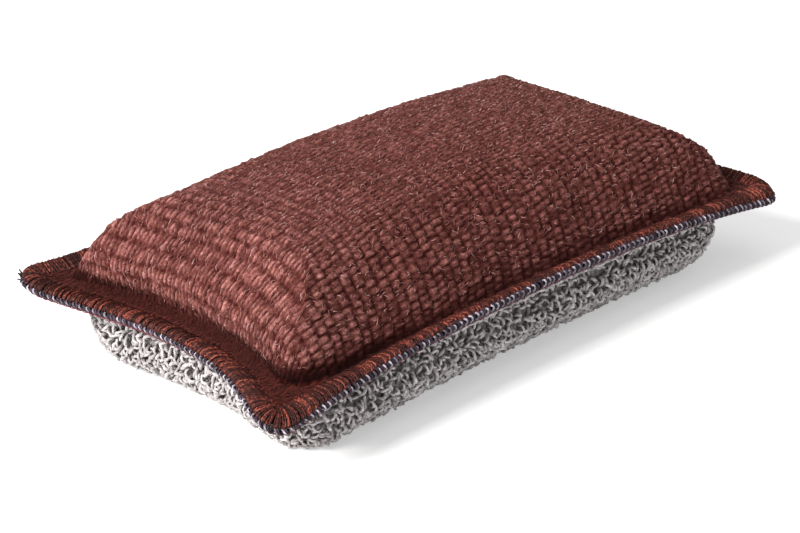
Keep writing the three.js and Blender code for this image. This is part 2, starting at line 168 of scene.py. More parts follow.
class StuffedCover:
    """A cover's outer face as a function of p and q, with how far in each place lies."""

    def __init__(self, cover, steps_x=320, steps_y=240):
        self.cover = cover
        spare = cover["wall"] + (np.pi / 2 - 1) * cover["shoulder"]
        self.half_x = HALF_LENGTH - END_PULL + spare
        self.half_y = HALF_WIDTH - SIDE_PULL + spare
        p = np.linspace(-1, 1, 2 * steps_x + 1)[:, None]
        q = np.linspace(-1, 1, 2 * steps_y + 1)[None, :]
        height = cover["depth"] * climb(self.reach(p, q)[2], cover)
        self.share_x = plan_share(height, steps_x / self.half_x)
        self.share_y = plan_share(height.T, steps_y / self.half_y).T
        self.sway = np.zeros((2, 2, 3))

    def reach(self, p, q):
        """Distances from the end margin, from the side margin, and in from the rounded outline."""
        margin = END_MARGIN + by_ear(self.cover["ear_margin"], p, q) * np.abs(q) ** EAR_MARGIN_POWER
        from_end = np.maximum(self.half_x * (1 - np.abs(p)) - margin, 0)
        from_side = np.maximum(self.half_y * (1 - np.abs(q)) - SIDE_MARGIN, 0)
        return from_end, from_side, distance_in(from_end, from_side, self.cover)

    def at(self, p, q):
        """Point of the outer face: plan shares times the half sizes, then seam, depth and crown."""
        cover = self.cover
        x = grid_value(self.share_x, (p + 1) / 2, (q + 1) / 2) * half_length_at(q)
        y = grid_value(self.share_y, (p + 1) / 2, (q + 1) / 2) * half_width_at(p)
        from_end, from_side, inside = self.reach(p, q)
        share = climb(inside, cover)
        bulge = cover["wall"] + BULGE_SHARE * cover["shoulder"]
        out_x = np.sin(np.pi * np.minimum(from_end / bulge, 1)) ** 2 * climb(from_side, cover)
        out_y = np.sin(np.pi * np.minimum(from_side / bulge, 1)) ** 2 * climb(from_end, cover)
        crown = cover["crown"] * share * (1 - p * p) * (1 - q * q)
        lean = (cover["lean_x"] * x + cover["lean_y"] * y) * share
        z = seam_height(x, y) + cover["side"] * (FLANGE_FACE + cover["depth"] * share + crown) + lean
        face = np.stack([x + np.sign(p) * cover["over_end"] * out_x,
                         y + np.sign(q) * cover["over_side"] * out_y, z], axis=-1)
        return face + grid_value(self.sway, (p + 1) / 2, (q + 1) / 2)

    def normal(self, p, q, step=2e-3):
        """Outward normal: the cross product of the differences along p and along q."""
        p0 = np.clip(p, -1 + step, 1 - step)
        q0 = np.clip(q, -1 + step, 1 - step)
        along_p = self.at(p0 + step, q0) - self.at(p0 - step, q0)
        along_q = self.at(p0, q0 + step) - self.at(p0, q0 - step)
        return unit(np.cross(along_p, along_q)) * self.cover["side"]

    def gripped(self, p, q):
        """How free the cloth is: 0 in the seam's margin, 1 from RELIEF_RUN mm inside it."""
        return np.clip(self.reach(p, q)[2] / RELIEF_RUN, 0, 1)

    def inward(self, p, q, depth):
        """Face moved in by a depth: upright in the margin, square to the face over the foam."""
        upright = np.array([0, 0, float(self.cover["side"])])
        free = self.gripped(p, q)[..., None]
        way = unit(upright * (1 - free) + self.normal(p, q) * free)
        return self.at(p, q) - way * np.asarray(depth)[..., None]


def grid_value(table, a, b):
    """Value of a table over 0 to 1 by 0 to 1, straight between its four nearest entries."""
    fa = np.broadcast_to(a, np.broadcast(a, b).shape) * (table.shape[0] - 1)
    fb = np.broadcast_to(b, np.broadcast(a, b).shape) * (table.shape[1] - 1)
    i = np.clip(fa.astype(int), 0, table.shape[0] - 2)
    j = np.clip(fb.astype(int), 0, table.shape[1] - 2)
    u = fa - i
    v = fb - j
    if table.ndim == 3:
        u = u[..., None]
        v = v[..., None]
    near = table[i, j] * (1 - v) + table[i, j + 1] * v
    far = table[i + 1, j] * (1 - v) + table[i + 1, j + 1] * v
    return near * (1 - u) + far * u


def unit(vectors):
    """Vectors divided by their lengths."""
    return vectors / np.maximum(np.linalg.norm(vectors, axis=-1, keepdims=True), 1e-12)


top = StuffedCover(TOP)
bottom = StuffedCover(BOTTOM)
print("flat cut of the top cloth:", round(2 * top.half_x), "by", round(2 * top.half_y), "mm")

# %% [markdown]
# ## The camera
#
# The photograph looks down at the pad from its front left corner, with a long lens. A camera is
# a place and a turn: here the place is worked out from the two angles and the distance to the
# middle of the seam, and the turn puts the camera's own axes along the view.

# %% Place the camera
VIEW_AZIMUTH = math.radians(-45.24)
VIEW_ELEVATION = math.radians(25.72)
VIEW_DISTANCE = 0.60826
VIEW_SIDEWAYS = -0.002443
VIEW_UPWARDS = -0.004302
FOCAL_PIXELS = 3037.0
PICTURE_WIDTH = 800


def make_camera():
    """A camera whose -Z looks at the middle of the seam line, shifted sideways and upwards."""
    back = np.array([math.sin(VIEW_AZIMUTH) * math.cos(VIEW_ELEVATION),
                     -math.cos(VIEW_AZIMUTH) * math.cos(VIEW_ELEVATION),
                     math.sin(VIEW_ELEVATION)])
    right = unit(np.cross(-back, [0, 0, 1.0]))
    up = np.cross(right, -back)
    place = np.array([0, 0, SEAM_HEIGHT * MM]) + back * VIEW_DISTANCE
    place = place + right * VIEW_SIDEWAYS + up * VIEW_UPWARDS
    data = bpy.data.cameras.new("camera")
    data.sensor_fit = "HORIZONTAL"
    data.sensor_width = 36
    data.lens = FOCAL_PIXELS * data.sensor_width / PICTURE_WIDTH
    data.clip_start = 0.01
    camera = bpy.data.objects.new("camera", data)
    bpy.context.scene.collection.objects.link(camera)
    matrix = np.eye(4)
    matrix[:3, 0] = right
    matrix[:3, 1] = up
    matrix[:3, 2] = back
    matrix[:3, 3] = place
    camera.matrix_world = Matrix(matrix.tolist())
    return camera


bpy.context.scene.camera = make_camera()
print("lens in mm:", round(bpy.context.scene.camera.data.lens, 1))

# %% [markdown]
# ## Turning arrays into meshes
#
# A mesh can be made by operators, by bmesh or straight from arrays. Arrays are quickest when a
# shape is a formula: every point of a grid or of a tube is worked out at once, and Blender gets
# the finished lists. Quads, triangles and end caps are separate arrays of faces.

# %% Helpers for grids, tubes and meshes
def fractions(steps_x, steps_y):
    """Fractions p and q at the points of a grid over the whole cut."""
    return np.meshgrid(np.linspace(-1, 1, steps_x + 1), np.linspace(-1, 1, steps_y + 1),
                       indexing="ij")


def make_mesh(name, points, face_arrays, uv=None, values=None):
    """Mesh object in metres from points in mm, arrays of faces, and numbers per point."""
    mesh = bpy.data.meshes.new(name)
    corners = np.concatenate([faces.ravel() for faces in face_arrays]).astype(np.int32)
    totals = np.concatenate([np.full(len(faces), faces.shape[1]) for faces in face_arrays])
    starts = np.concatenate([[0], np.cumsum(totals)[:-1]])
    mesh.vertices.add(len(points))
    mesh.vertices.foreach_set("co", (points * MM).astype(np.float32).ravel())
    mesh.loops.add(len(corners))
    mesh.loops.foreach_set("vertex_index", corners)
    mesh.polygons.add(len(totals))
    mesh.polygons.foreach_set("loop_start", starts.astype(np.int32))
    mesh.polygons.foreach_set("loop_total", totals.astype(np.int32))
    mesh.polygons.foreach_set("use_smooth", np.ones(len(totals), dtype=bool))
    if uv is not None:
        layer = mesh.uv_layers.new(name="cloth")
        layer.data.foreach_set("uv", uv[corners].astype(np.float32).ravel())
    for key, numbers in (values or {}).items():
        attribute = mesh.attributes.new(key, "FLOAT", "POINT")
        attribute.data.foreach_set("value", numbers.astype(np.float32).ravel())
    mesh.update(calc_edges=True)
    thing = bpy.data.objects.new(name, mesh)
    bpy.context.scene.collection.objects.link(thing)
    triangles = int(np.sum(totals - 2))
    print(name, "has", triangles, "triangles")
    return thing


def grid_faces(rows, columns, wrap=False):
    """Quads of a grid of points, row by row; wrap joins the last column to the first."""
    i = np.arange(rows - 1)[:, None]
    j = np.arange(columns if wrap else columns - 1)[None, :]
    following = (j + 1) % columns
    corners = [i * columns + j, (i + 1) * columns + j,
               (i + 1) * columns + following, i * columns + following]
    return np.stack([np.broadcast_to(c, (rows - 1, j.shape[1])) for c in corners], -1).reshape(-1, 4)


def tubes(paths, normals, radius, sides, closed=False):
    """Round sections carried along many paths at once.

    Each section is centre + radius * (cos a * side + sin a * up), where up is the given normal
    set square to the path, and side is square to both."""
    count, stops = paths.shape[:2]
    if closed:
        along = np.roll(paths, -1, axis=1) - np.roll(paths, 1, axis=1)
    else:
        along = np.gradient(paths, axis=1)
    along = unit(along)
    up = unit(normals - along * np.sum(normals * along, axis=-1, keepdims=True))
    side = np.cross(along, up)
    angle = np.arange(sides) * 2 * np.pi / sides
    radius = np.broadcast_to(radius, (count, stops))[..., None, None]
    ring = np.cos(angle)[:, None] * side[:, :, None] + np.sin(angle)[:, None] * up[:, :, None]
    points = (paths[:, :, None] + radius * ring).reshape(-1, 3)
    body = grid_faces(stops, sides, wrap=True)
    first = np.arange(sides)[None]
    last = first + (stops - 1) * sides
    if closed:
        joint = np.stack([last, first, np.roll(first, -1), np.roll(last, -1)], -1)[0]
        body = np.vstack([body, joint])
    start = (np.arange(count) * stops * sides)[:, None, None]
    faces = [(body[None] + start).reshape(-1, 4)]
    if not closed:
        lids = np.vstack([first, last[:, ::-1]])
        faces.append((lids[None] + start).reshape(-1, sides))
    around = np.tile(np.arange(sides) / sides, count * stops)
    length = np.cumsum(np.linalg.norm(np.diff(paths, axis=1, prepend=paths[:, :1]), axis=-1), axis=1)
    uv = np.stack([np.repeat(length.ravel(), sides), around], -1)
    return points, faces, uv


def closed_cover(form, steps, skip, relief, thickness):
    """A cover as one closed shell in its two grids of points.

    The outer face has the given steps, less its relief in mm. The inner face has one step for
    skip of the outer ones. Between the borders, each inner step fans out to skip outer ones."""
    def face(steps_x, steps_y, depth):
        p, q = rounded_ear(*fractions(steps_x, steps_y))
        return p, q, form.inward(p, q, depth(p, q))

    def border(rows, columns, start):
        ids = start + np.arange(rows * columns).reshape(rows, columns)
        return np.concatenate([ids[:-1, 0], ids[-1, :-1], ids[:0:-1, -1], ids[0, :0:-1], ids[:1, 0]])

    steps_x, steps_y = steps
    p, q, outer = face(steps_x, steps_y, relief)
    inner = face(steps_x // skip, steps_y // skip, thickness)[2]
    count = outer.shape[0] * outer.shape[1]
    skin = grid_faces(*outer.shape[:2])
    lining = grid_faces(*inner.shape[:2])[:, ::-1] + count
    fine = border(*outer.shape[:2], 0)
    coarse = border(*inner.shape[:2], count)
    near = np.repeat(coarse[:-1], skip)
    fan = np.stack([fine[:-1], near, fine[1:]], -1)
    closing = np.stack([fine[skip::skip], coarse[:-1], coarse[1:]], -1)
    faces = [np.vstack([skin, lining]), np.vstack([fan, closing])]
    if form.cover["side"] < 0:
        faces = [part[:, ::-1] for part in faces]
    points = np.vstack([outer.reshape(-1, 3), inner.reshape(-1, 3)])
    cloth = np.stack([p * form.half_x, q * form.half_y], -1).reshape(-1, 2)
    uv = np.vstack([cloth, np.zeros((inner.shape[0] * inner.shape[1], 2))])
    return points, faces, uv, (p, q)


# %% [markdown]
# ## The knit: ribs of knuckles
#
# The top cloth is a coarse microfibre knit. Its ribs run across the pad, and along each rib lie
# oval knuckles of yarn, a third of a step further along on each next rib. Bump alone would leave
# the outline smooth, so each knuckle is a real dome here. The ribs wander a little and no two
# knuckles are alike, which comes from a seeded table of random numbers.

# %% The relief of the knit
RIB_PITCH = 2.6
KNUCKLE_PITCH = 1.2
RIB_OFFSET = 0.33
KNIT_DEPTH = 0.7
KNIT_RISE = -0.35
PRESSED = 0.3
DOME_POWER = 0.62
KNIT_STEPS = (280, 344)
COARSER_INSIDE = 8
# The next two fractions of the length set where the painted light on the left end's knuckle tops begins
# and where it is full.
PAINTED_LIGHT_START = 0.35
PAINTED_LIGHT_FULL = 0.8
# The next two sizes set the painted crease shade: how far in from the margin it fades, and how much
# weaker it is away from the left end.
CREASE_SHADE_RUN = 3.5
CREASE_SHADE_ELSEWHERE = 0.68
KNIT_CLOTH = 1.5
MARGIN_RELIEF = 0.25
ACROSS_POWER = 2.6
ALONG_POWER = 2.2
WANDERS = ((0.7, 34.0), (0.22, 4.0), (0.4, 21.0))
LUCK_RIBS = 80
LUCK_ROWS = 100
cell_luck = rng.uniform(-1, 1, (5, LUCK_RIBS, LUCK_ROWS))
rib_shift = rng.normal(0, 0.05, LUCK_RIBS)
rib_slant = rng.uniform(-0.12, 0.12, LUCK_RIBS)
wave_luck = rng.uniform(0, 1, (3, 3, 3))


def wander(u, v, kind):
    """A slow random shift in mm: three sine waves of different lengths and directions."""
    size, length = WANDERS[kind]
    total = sum(np.sin((u * np.cos(2 * np.pi * turn) + v * np.sin(2 * np.pi * turn))
                       * 2 * np.pi * (0.6 + 0.8 * wave) / length + 2 * np.pi * phase)
                for wave, turn, phase in wave_luck[kind])
    return size * total / 3


def knuckles(u, v):
    """Height from 0 to 1 of the knuckle at a place on the cloth, and a random number for it.

    Across a rib a runs from -1 to 1 and along one knuckle b does, and the dome is a power of
    (1 - |a|^ACROSS_POWER)(1 - |b|^ALONG_POWER), a little larger or to one side by luck."""
    u = u + wander(u, v, 0) + wander(u, v, 1)
    v = v + wander(u, v, 2)
    rib = np.round(u / RIB_PITCH).astype(int)
    a = 2 * (u / RIB_PITCH - rib)
    turn = rib % LUCK_RIBS
    along = v / KNUCKLE_PITCH - RIB_OFFSET * rib + rib_shift[turn] + rib_slant[turn] * a
    row = np.round(along).astype(int)
    luck = cell_luck[:, turn, row % LUCK_ROWS]
    b = 2 * (along - row) + 0.2 * luck[0] + 0.2 * a * luck[2]
    a = a * (1 - 0.15 * luck[4]) + 0.16 * luck[1]
    dome = (np.clip(1 - np.abs(a) ** ACROSS_POWER, 0, 1)
            * np.clip(1 - np.abs(b) ** ALONG_POWER, 0, 1))
    return dome**DOME_POWER * (0.8 + 0.2 * luck[3]), 0.5 + 0.5 * luck[3]


def knit_relief(p, q):
    """Depth of the knit's face below the cover's outer face, in mm, shallower in the margin."""
    height = knuckles(p * top.half_x, q * top.half_y)[0]
    free = top.gripped(p, q)
    over_foam = KNIT_DEPTH * (1 - height) + KNIT_RISE
    in_margin = MARGIN_RELIEF * (1 - height) + PRESSED
    return over_foam * free + in_margin * (1 - free)


# %% [markdown]
# ## Stuffing by cloth simulation
#
# A sewn pad is never quite even: the cloth takes up the pressure of the stuffing and puckers
# where the seam holds it. A coarse copy of both covers is blown up here with its seam pinned,
# and each point may move a little only. The way that each point went is then read as a table
# over p and q, which moves the fine knit and the pile with it, and the copy is thrown away.

# %% Let the covers settle
SWAY_STEPS = (60, 40)
SWAY_LIMIT = 1.3
SWAY_FRAMES = 20
STUFFING_PRESSURE = 4.0


def stuffing_sway():
    """Blows up a closed coarse copy of the covers and returns both covers' moves in mm."""
    p, q = fractions(*SWAY_STEPS)
    round_p, round_q = rounded_ear(p, q)
    upper = top.at(round_p, round_q)
    lower = bottom.at(round_p, round_q)
    rim = (np.abs(p) == 1) | (np.abs(q) == 1)
    upper[rim] = (upper[rim] + lower[rim]) / 2
    count = upper.shape[0] * upper.shape[1]
    lower_ids = np.where(rim.ravel(), np.arange(count), count + np.cumsum(~rim.ravel()) - 1)
    top_faces = grid_faces(*upper.shape[:2])
    bottom_faces = lower_ids[top_faces][:, ::-1]
    points = np.vstack([upper.reshape(-1, 3), lower[~rim]])
    cushion = make_mesh("stuffing_trial", points, [np.vstack([top_faces, bottom_faces])])
    seam = cushion.vertex_groups.new(name="seam")
    seam.add(np.flatnonzero(rim.ravel()).tolist(), 1.0, "REPLACE")
    cloth = cushion.modifiers.new("stuffing", "CLOTH")
    cloth.settings.vertex_group_mass = "seam"
    cloth.settings.use_pressure = True
    cloth.settings.uniform_pressure_force = STUFFING_PRESSURE
    cloth.settings.effector_weights.gravity = 0
    scene = bpy.context.scene
    for number in range(1, SWAY_FRAMES + 1):
        scene.frame_set(number)
    settled = cushion.evaluated_get(bpy.context.evaluated_depsgraph_get())
    moved = np.empty(len(points) * 3, dtype=np.float32)
    settled.data.vertices.foreach_get("co", moved)
    sway = moved.reshape(-1, 3) / MM - points
    length = np.linalg.norm(sway, axis=1, keepdims=True)
    sway = sway * SWAY_LIMIT / (SWAY_LIMIT + length)
    print("stuffing moved points by", round(float(length.mean()), 2), "mm on average")
    trial_mesh = cushion.data
    bpy.data.objects.remove(cushion)
    bpy.data.meshes.remove(trial_mesh)
    scene.frame_set(1)
    shape = (*upper.shape[:2], 3)
    return sway[:count].reshape(shape), sway[lower_ids].reshape(shape)


top.sway, bottom.sway = stuffing_sway()

# %% [markdown]
# ## The knit as one closed cloth
#
# The knuckles are in the shell's outer face, and a coarser inner face closes it. Each point also
# gets four numbers, which the finish of the knit turns into colour.

# %% Make the knit cover
def knit_thickness(p, q):
    """Depth of the knit's inner side below the outer face: SEAM_CLOTH, then KNIT_CLOTH."""
    return SEAM_CLOTH + (KNIT_CLOTH - SEAM_CLOTH) * top.gripped(p, q)


def knit_numbers(p, q, spare):
    """Knuckle height, luck, painted crease shade and painted left-end light of each point, with a fixed
    number for the inner side.

    The painted crease shade is darkest at the left end, and the knuckle tops there get painted light."""
    height, luck = knuckles(p * top.half_x, q * top.half_y)
    left_end = np.clip((-p - PAINTED_LIGHT_START) / (PAINTED_LIGHT_FULL - PAINTED_LIGHT_START), 0, 1)
    inside = np.clip(top.reach(p, q)[2] / CREASE_SHADE_RUN, 0, 1)
    # free: painted crease shade, low in the margin and at the foot of the wall, lowest at the left end
    free = np.clip(inside + CREASE_SHADE_ELSEWHERE * (1 - left_end), 0, 1)
    # painted light on the knuckle tops at the left end, inside the crease
    numbers = {"knuckle": height, "luck": luck, "free": free, "painted_left_light": left_end * inside * height}
    return {key: np.concatenate([value.ravel(), np.full(spare, 0.5)]) for key, value in numbers.items()}


knit_points, knit_faces, knit_uv, knit_pq = closed_cover(
    top, KNIT_STEPS, COARSER_INSIDE, knit_relief, knit_thickness)
knit_top = make_mesh("knit_top", knit_points, knit_faces, knit_uv,
                     knit_numbers(*knit_pq, len(knit_points) - knit_pq[0].size))
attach(knit_top, "root")
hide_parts("top_cover")

# %% [markdown]
# ## Fibres on the knit
#
# Microfibre yarn is fluffy. At this size one sees short pale fibres lying across the knuckles.
# A particle system would not be exported, so each fibre is a thin tapered tube that starts in a
# knuckle and bows over it, mostly along the run of the yarn.

# %% Lay fibres over the knuckles
FIBRES = 13500
FIBRE_LENGTH = 0.9
FIBRE_RADIUS = 0.075
FIBRE_TAPER = np.array([0.8, 1.0, 0.4])
FIBRE_SIDES = 3
FIBRE_ABOVE = np.array([-0.05, 0.12, 0.0])


def fibre_paths():
    """Three points to a fibre: one end in the knuckles, the middle over them, one end on them."""
    u = rng.uniform(-1, 1, FIBRES) * top.half_x
    v = rng.uniform(-1, 1, FIBRES) * top.half_y
    free = top.reach(u / top.half_x, v / top.half_y)[2] > RELIEF_RUN
    u = u[free][:, None]
    v = v[free][:, None]
    turn = rng.normal(0, 0.5, u.shape)
    half = FIBRE_LENGTH / 2 * rng.uniform(0.6, 1.4, u.shape)
    t = np.array([-1.0, 0.1, 1.0])
    bend = rng.normal(0, 0.18, (len(u), 3))
    p = np.clip((u + half * np.cos(turn) * t) / top.half_x, -1, 1)
    q = np.clip((v + half * (np.sin(turn) * t + bend)) / top.half_y, -1, 1)
    above = FIBRE_ABOVE * rng.uniform(0.4, 1.6, u.shape)
    return top.inward(p, q, knit_relief(p, q) - above), top.normal(p, q)


fibre_path, fibre_up = fibre_paths()
taper = FIBRE_TAPER * FIBRE_RADIUS * rng.uniform(0.7, 1.4, (len(fibre_path), 1))
fibre_points, fibre_faces, fibre_uv = tubes(fibre_path, fibre_up, taper, FIBRE_SIDES)
fibre_luck = np.repeat(rng.uniform(0, 1, len(fibre_path)), len(FIBRE_TAPER) * FIBRE_SIDES)
knit_fibres = make_mesh("knit_fibres", fibre_points, fibre_faces, fibre_uv, {"luck": fibre_luck})
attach(knit_fibres, "root")

# %% [markdown]
# ## The pile: thousands of small loops
#
# The underside is bouclé: thick soft yarn that stands up in loops about 2 mm long, turned every
# way. Hair or a displaced surface would look like fur or gravel. So there is a plain ground, and
# every loop is a short bent tube with its feet in that ground, from one formula for all of them.
# Where the pad lies on the floor, the loops are pressed flat.

# %% The ground and the loops of the pile
PILE_HEIGHT = 1.5
MARGIN_DEPTH = 0.15
MARGIN_HEIGHT = 0.9
PILE_RISE_LEFT = 1.5
PILE_RISE_RIGHT = 0.7
LOOP_SPACING = 1.1
PRESSED_SPACING = 2.5
LOOP_WIDTH = 1.3
LOOP_RADIUS = 0.3
LOOP_STOPS = 7
LOOP_SIDES = 4
LOOP_LEAN = 0.6
LOOP_INSET = 1.3
LOOP_SUNK = 0.25
GROUND_CLOTH = 0.5
GROUND_STEPS = (96, 64)
GROUND_COARSER = 4
PRESSED_UNDER = 0.3


def pile_depth(p, q):
    """Depth of the loops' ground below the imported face: less where the pile is fuller, by x."""
    fuller = np.interp(p, [-0.7, 0.5], [PILE_RISE_LEFT, PILE_RISE_RIGHT])
    return MARGIN_DEPTH + (PILE_HEIGHT - fuller - MARGIN_DEPTH) * bottom.gripped(p, q)


def pile_thickness(p, q):
    """Depth of the ground's inner side: a cloth's thickness beyond its outer face."""
    return pile_depth(p, q) + GROUND_CLOTH


ground_points, ground_faces, ground_uv, _ = closed_cover(
    bottom, GROUND_STEPS, GROUND_COARSER, pile_depth, pile_thickness)
ground_points[:, 2] = np.maximum(ground_points[:, 2], LOOP_RADIUS)
pile_ground = make_mesh("pile_ground", ground_points, ground_faces, ground_uv)
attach(pile_ground, "root")
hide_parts("bottom_cover")


def loop_feet(spacing):
    """Fractions p and q of the loops' feet: a grid of a spacing in mm, each moved by luck."""
    columns = int(2 * bottom.half_x / spacing)
    rows = int(2 * bottom.half_y / spacing)
    i, j = np.meshgrid(np.arange(columns), np.arange(rows), indexing="ij")
    p = (i + 0.5 * (j % 2) + 0.25 + rng.uniform(-0.35, 0.35, i.shape)) / columns * 2 - 1
    q = (j + 0.5 + rng.uniform(-0.35, 0.35, i.shape)) / rows * 2 - 1
    from_end = bottom.half_x * (1 - np.abs(p))
    from_side = bottom.half_y * (1 - np.abs(q))
    into_ear = [np.maximum(EAR_RADIUS - gap, 0) for gap in (from_end, from_side)]
    from_ear = EAR_RADIUS - np.hypot(*into_ear)
    inside = np.minimum(np.minimum(from_end, from_side), from_ear) > LOOP_INSET
    return p[inside], q[inside]


def pile_feet():
    """Feet of all loops: close on the sides, and wider apart where the pad lies on them."""
    near = loop_feet(LOOP_SPACING)
    wide = loop_feet(PRESSED_SPACING)
    free = bottom.at(*near)[:, 2] > PRESSED_UNDER
    pressed = bottom.at(*wide)[:, 2] <= PRESSED_UNDER
    return (np.concatenate([near[0][free], wide[0][pressed]]),
            np.concatenate([near[1][free], wide[1][pressed]]))


def loop_paths(p, q):
    """Paths of loops: out and back over a foot, leaning and twisting by luck.

    With t from 0 to 1, a loop goes w/2 * cos(pi t) along, h * sin(pi t)^0.8 up and
    c * sin(2 pi t) across, in a frame turned at random about a leaning normal."""
    count = len(p)
    foot = bottom.inward(p, q, pile_depth(p, q))
    normal = bottom.normal(p, q)
    lean = rng.normal(0, 0.6, (count, 3)) * LOOP_LEAN
    outward = unit(normal + lean)
    turn = rng.uniform(0, 2 * np.pi, count)
    first = unit(np.cross(outward, [0.3, 0.5, 0.81]))
    second = np.cross(outward, first)
    along = first * np.cos(turn)[:, None] + second * np.sin(turn)[:, None]
    across = np.cross(outward, along)
    t = np.linspace(0, 1, LOOP_STOPS)
    width = LOOP_WIDTH * rng.uniform(0.7, 1.25, (count, 1))
    height = MARGIN_HEIGHT + (PILE_HEIGHT - MARGIN_HEIGHT) * bottom.gripped(p, q)[:, None]
    height = height * rng.uniform(0.75, 1.25, (count, 1))
    curl = rng.uniform(-0.6, 0.6, (count, 1))
    open_out = width / 2 * np.cos(np.pi * t) * (1 + 0.5 * np.sin(np.pi * t))
    up = height * np.sin(np.pi * t) ** 0.8 - LOOP_SUNK
    path = (foot[:, None] + along[:, None] * open_out[..., None] + outward[:, None] * up[..., None]
            + across[:, None] * (curl * np.sin(2 * np.pi * t))[..., None])
    path[..., 2] = np.maximum(path[..., 2], LOOP_RADIUS)
    return path, np.broadcast_to(across[:, None], path.shape)


def make_pile(name, p, q):
    """One piece of pile loops, with how far along its loop and how lucky each point is."""
    path, across = loop_paths(p, q)
    radius = LOOP_RADIUS * rng.uniform(0.85, 1.2, (len(p), 1))
    points, faces, uv = tubes(path, across, radius, LOOP_SIDES)
    luck = np.repeat(rng.uniform(0, 1, len(p)), LOOP_STOPS * LOOP_SIDES)
    # how far along its loop each point is, which the finish turns into painted highlight at the tip and
    # painted shade at the feet
    tip_light = np.tile(np.repeat(np.sin(np.pi * np.linspace(0, 1, LOOP_STOPS)), LOOP_SIDES), len(p))
    points[:, 2] = np.maximum(points[:, 2], 0)
    loops = make_mesh(name, points, faces, uv, {"tip_light": tip_light, "luck": luck})
    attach(loops, "root")
    return loops


foot_p, foot_q = pile_feet()
front = foot_q < 0
pile_pieces = [make_pile("pile_front", foot_p[front], foot_q[front]),
               make_pile("pile_back", foot_p[~front], foot_q[~front])]
print("loops in the pile:", len(foot_p))

# %% [markdown]
# ## The line of the seam
#
# Every thread of the seam follows the cut edge. So the edge is worked out once, as a closed line
# measured by its length, and a thread only says how far along, how far in from the edge and how
# high over the seam's middle plane each of its points is.

# %% Points along the seam
EDGE_STEPS = 400


def square_border(steps):
    """Points on the border of the square that p and q span, once round, as two arrays."""
    share = np.arange(steps) / steps * 2 - 1
    ones = np.ones(steps)
    return (np.concatenate([share, ones, -share, -ones]),
            np.concatenate([-ones, share, ones, -share]))


edge_p, edge_q = rounded_ear(*square_border(EDGE_STEPS))
edge = np.stack([edge_p * half_length_at(edge_q), edge_q * half_width_at(edge_p)], -1)
edge_steps = np.linalg.norm(np.roll(edge, -1, axis=0) - edge, axis=1)
edge_run = np.concatenate([[0], np.cumsum(edge_steps)])
SEAM_LENGTH = edge_run[-1]
edge_closed = np.vstack([edge, edge[:1]])
print("seam is", round(float(SEAM_LENGTH)), "mm long")


def edge_at(s):
    """Point of the edge in plan at a length s along it."""
    s = np.mod(s, SEAM_LENGTH)
    return np.stack([np.interp(s, edge_run, edge_closed[:, 0]),
                     np.interp(s, edge_run, edge_closed[:, 1])], -1)


def seam_at(s, inset, height):
    """Point at a length along the edge, a distance in from it and a height over the seam."""
    s, inset, height = np.broadcast_arrays(s, inset, height)
    place = edge_at(s)
    along = unit(edge_at(s + 1.0) - edge_at(s - 1.0))
    inwards = np.stack([-along[..., 1], along[..., 0]], -1)
    plan = place + inwards * inset[..., None]
    z = seam_height(plan[..., 0], plan[..., 1]) + height
    return np.concatenate([plan, z[..., None]], -1)


def seam_thread(name, path, radius, sides, node, closed=False):
    """Many short threads as one piece that rides on the body and may stand for a node."""
    up = np.zeros_like(path)
    up[..., 2] = 1
    up[..., 0] = 0.05
    points, faces, uv = tubes(path, up, radius, sides, closed=closed)
    count, stops = path.shape[:2]
    luck = np.repeat(rng.uniform(0, 1, count), stops * sides)
    thread = make_mesh(name, points, faces, uv, {"luck": luck})
    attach(thread, "root")
    if node:
        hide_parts(node)
    return thread


# %% [markdown]
# ## The overlock seam
#
# A three-thread overlock holds both cloths between a fluffy upper thread that zigzags over the
# top, a lower thread that goes under, and a needle thread that catches both. The two loopers
# lock at the cut edge in a bead of small teeth. Each stitch repeats after STITCH_PITCH.

# %% Rust thread over the top of the margin
STITCH_PITCH = 1.45
BAND_WIDTH = 3.4
STRANDS = 4
stitches = int(round(SEAM_LENGTH / STITCH_PITCH))
pitch = SEAM_LENGTH / stitches
BAND_SECTION = np.array([[3.5, 0.6], [3.1, 1.2], [2.3, 1.4], [1.3, 1.45], [0.5, 1.35],
                         [-0.1, 1.05], [-0.5, 0.6], [-0.6, 0.1]])
LONG_WAVE = 5.3
SHORT_WAVE = 2.1
PUFF_WAVES = (3.7, 9.1)


def along_section(section, count):
    """Points of a section's smooth line at even steps, by cubic blends of its own points."""
    t = np.linspace(0, len(section) - 1, count)
    i = np.clip(t.astype(int), 0, len(section) - 2)
    f = (t - i)[:, None]
    padded = np.vstack([2 * section[0] - section[1], section, 2 * section[-1] - section[-2]])
    a, b, c, d = [padded[i + k] for k in range(4)]
    return b + 0.5 * f * (c - a + f * (2 * a - 5 * b + 4 * c - d + f * (3 * (b - c) + d - a)))


def rust_strands():
    """Strands across the margin, STRANDS to a stitch, over the section from cloth to cut edge.

    Each starts within its share of a stitch, slants by about half a stitch and bows by luck."""
    count = stitches * STRANDS
    t = np.linspace(0, 1, 8)
    section = along_section(BAND_SECTION, len(t))
    start = (np.arange(count)[:, None] + rng.uniform(-0.2, 0.2, (count, 1))) * pitch / STRANDS
    slant = pitch * (0.6 + rng.normal(0, 0.08, (count, 1)))
    bow = rng.normal(0, 0.07, (count, 1)) * np.sin(np.pi * t)
    longer = (1 + rng.normal(0, 0.09, (count, 1)) + 0.09 * np.sin(start / LONG_WAVE)
              + 0.05 * np.sin(start / SHORT_WAVE))
    inset = np.where(section[:, 0] > 0, section[:, 0] * longer, section[:, 0])
    near, far = PUFF_WAVES
    puff = rng.normal(0, 0.06, (count, 1)) + 0.08 * np.sin(start / near) * np.sin(start / far)
    height = section[:, 1] + puff * np.sin(np.pi * t)
    return seam_at(start - slant * t + bow, inset - 0.4 * puff * t, height)


upper_looper = seam_thread("upper_looper", rust_strands(), 0.22, 4,
                           "upper_looper_thread")

